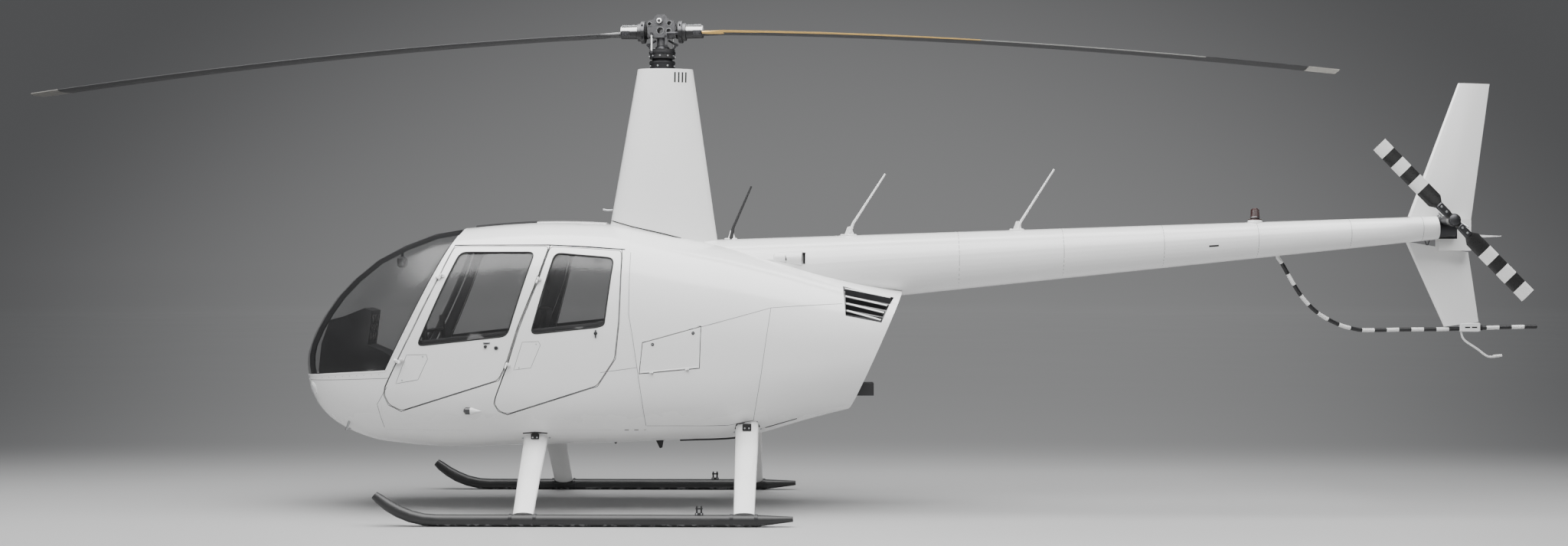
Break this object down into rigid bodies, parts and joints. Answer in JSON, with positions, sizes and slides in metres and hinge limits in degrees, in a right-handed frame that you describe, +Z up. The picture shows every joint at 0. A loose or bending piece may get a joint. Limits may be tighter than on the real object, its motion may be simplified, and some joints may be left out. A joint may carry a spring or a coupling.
{
  "type": "light helicopter",
  "caption": "Light four-seat helicopter on skids, with a slender tail boom, tall mast fairing, drooping rotor blades and hinged cabin doors.",
  "frame": {"origin": "middle of the whole object's box in plan, on the ground under the skids", "axes": "+X aft along the tail, +Y to starboard, +Z up; the nose looks along -X"},
  "size_m": [11.1163, 2.2004, 3.568],
  "materials": {
    "white_paint": "gloss white paint",
    "tinted_glass": "grey tinted acrylic",
    "black_trim": "matte black",
    "seat_cover": "black padded cover",
    "black_paint": "satin black paint",
    "bare_steel": "bare and satin",
    "cast_alloy": "dark cast alloy",
    "blade_paint": "satin dark grey paint",
    "lens": "dark red lens"
  },
  "bodies": {
    "airframe": {"nose_bowl": "white_paint", "belly_pan": "white_paint", "cabin_side_left": "white_paint", "cabin_side_right": "white_paint", "roof_panel": "white_paint", "engine_cowl": "white_paint", "mast_fairing": "white_paint", "tail_cone": "white_paint", "upper_fin": "white_paint", "lower_fin": "white_paint", "stabiliser": "white_paint", "aerial_middle": "white_paint", "aerial_rear": "white_paint", "nav_light_left": "white_paint", "nav_light_right": "white_paint", "strut_front_left": "white_paint", "strut_front_right": "white_paint", "strut_rear_left": "white_paint", "strut_rear_right": "white_paint", "windshield_left": "tinted_glass", "windshield_right": "tinted_glass", "windshield_bow": "black_trim", "cabin_floor": "black_trim", "rear_bulkhead": "black_trim", "console": "black_trim", "control_stick": "black_trim", "exhaust_box": "black_trim", "aerial_front": "black_trim", "front_seat_cushion_left": "seat_cover", "front_seat_cushion_right": "seat_cover", "front_seat_back_left": "seat_cover", "front_seat_back_right": "seat_cover", "rear_seat_cushion_left": "seat_cover", "rear_seat_cushion_right": "seat_cover", "rear_seat_back_left": "seat_cover", "rear_seat_back_right": "seat_cover", "skid_left": "black_paint", "skid_right": "black_paint", "tail_guard": "black_paint", "pitot_tube": "bare_steel", "engine_block": "cast_alloy", "swashplate_base": "cast_alloy", "tail_gearbox": "cast_alloy", "beacon": "lens"},
    "main_rotor": {"rotor_hub": "bare_steel", "main_blade_aft": "blade_paint", "main_blade_forward": "blade_paint"},
    "tail_rotor": {"tail_rotor": "white_paint"},
    "door_front_left": {"door_front_left": "white_paint", "door_front_glass_left": "tinted_glass"},
    "door_front_right": {"door_front_right": "white_paint", "door_front_glass_right": "tinted_glass"},
    "door_rear_left": {"door_rear_left": "white_paint", "door_rear_glass_left": "tinted_glass"},
    "door_rear_right": {"door_rear_right": "white_paint", "door_rear_glass_right": "tinted_glass"},
    "cowl_door_left": {"cowl_door_left": "white_paint"},
    "cowl_door_right": {"cowl_door_right": "white_paint"}
  },
  "joints": [
    {"name": "main_rotor_spin", "type": "hinge", "parent": "airframe", "child": "main_rotor", "pos_m": [-0.8, 0, 3.3], "axis": [0, 0, 1], "continuous": true},
    {"name": "tail_rotor_spin", "type": "hinge", "parent": "airframe", "child": "tail_rotor", "pos_m": [4.835, -0.25, 2.075], "axis": [0, 1, 0], "continuous": true},
    {"name": "door_front_left_hinge", "type": "hinge", "parent": "airframe", "child": "door_front_left", "pos_m": [-2.311, -0.5537, 1.677], "axis": [-0.4159, -0.0827, -0.9057], "range_deg": [0, 70]},
    {"name": "door_front_right_hinge", "type": "hinge", "parent": "airframe", "child": "door_front_right", "pos_m": [-2.311, 0.5537, 1.677], "axis": [0.4159, -0.0827, 0.9057], "range_deg": [0, 70]},
    {"name": "door_rear_left_hinge", "type": "hinge", "parent": "airframe", "child": "door_rear_left", "pos_m": [-1.624, -0.6003, 1.651], "axis": [-0.3329, -0.0915, -0.9385], "range_deg": [0, 70]},
    {"name": "door_rear_right_hinge", "type": "hinge", "parent": "airframe", "child": "door_rear_right", "pos_m": [-1.624, 0.6003, 1.651], "axis": [0.3329, -0.0915, 0.9385], "range_deg": [0, 70]},
    {"name": "cowl_door_left_hinge", "type": "hinge", "parent": "airframe", "child": "cowl_door_left", "pos_m": [-0.908, -0.6472, 1.002], "axis": [0.9943, 0.0572, 0.0895], "range_deg": [0, 100]},
    {"name": "cowl_door_right_hinge", "type": "hinge", "parent": "airframe", "child": "cowl_door_right", "pos_m": [-0.908, 0.6472, 1.002], "axis": [-0.9943, 0.0572, -0.0895], "range_deg": [0, 100]}
  ]
}
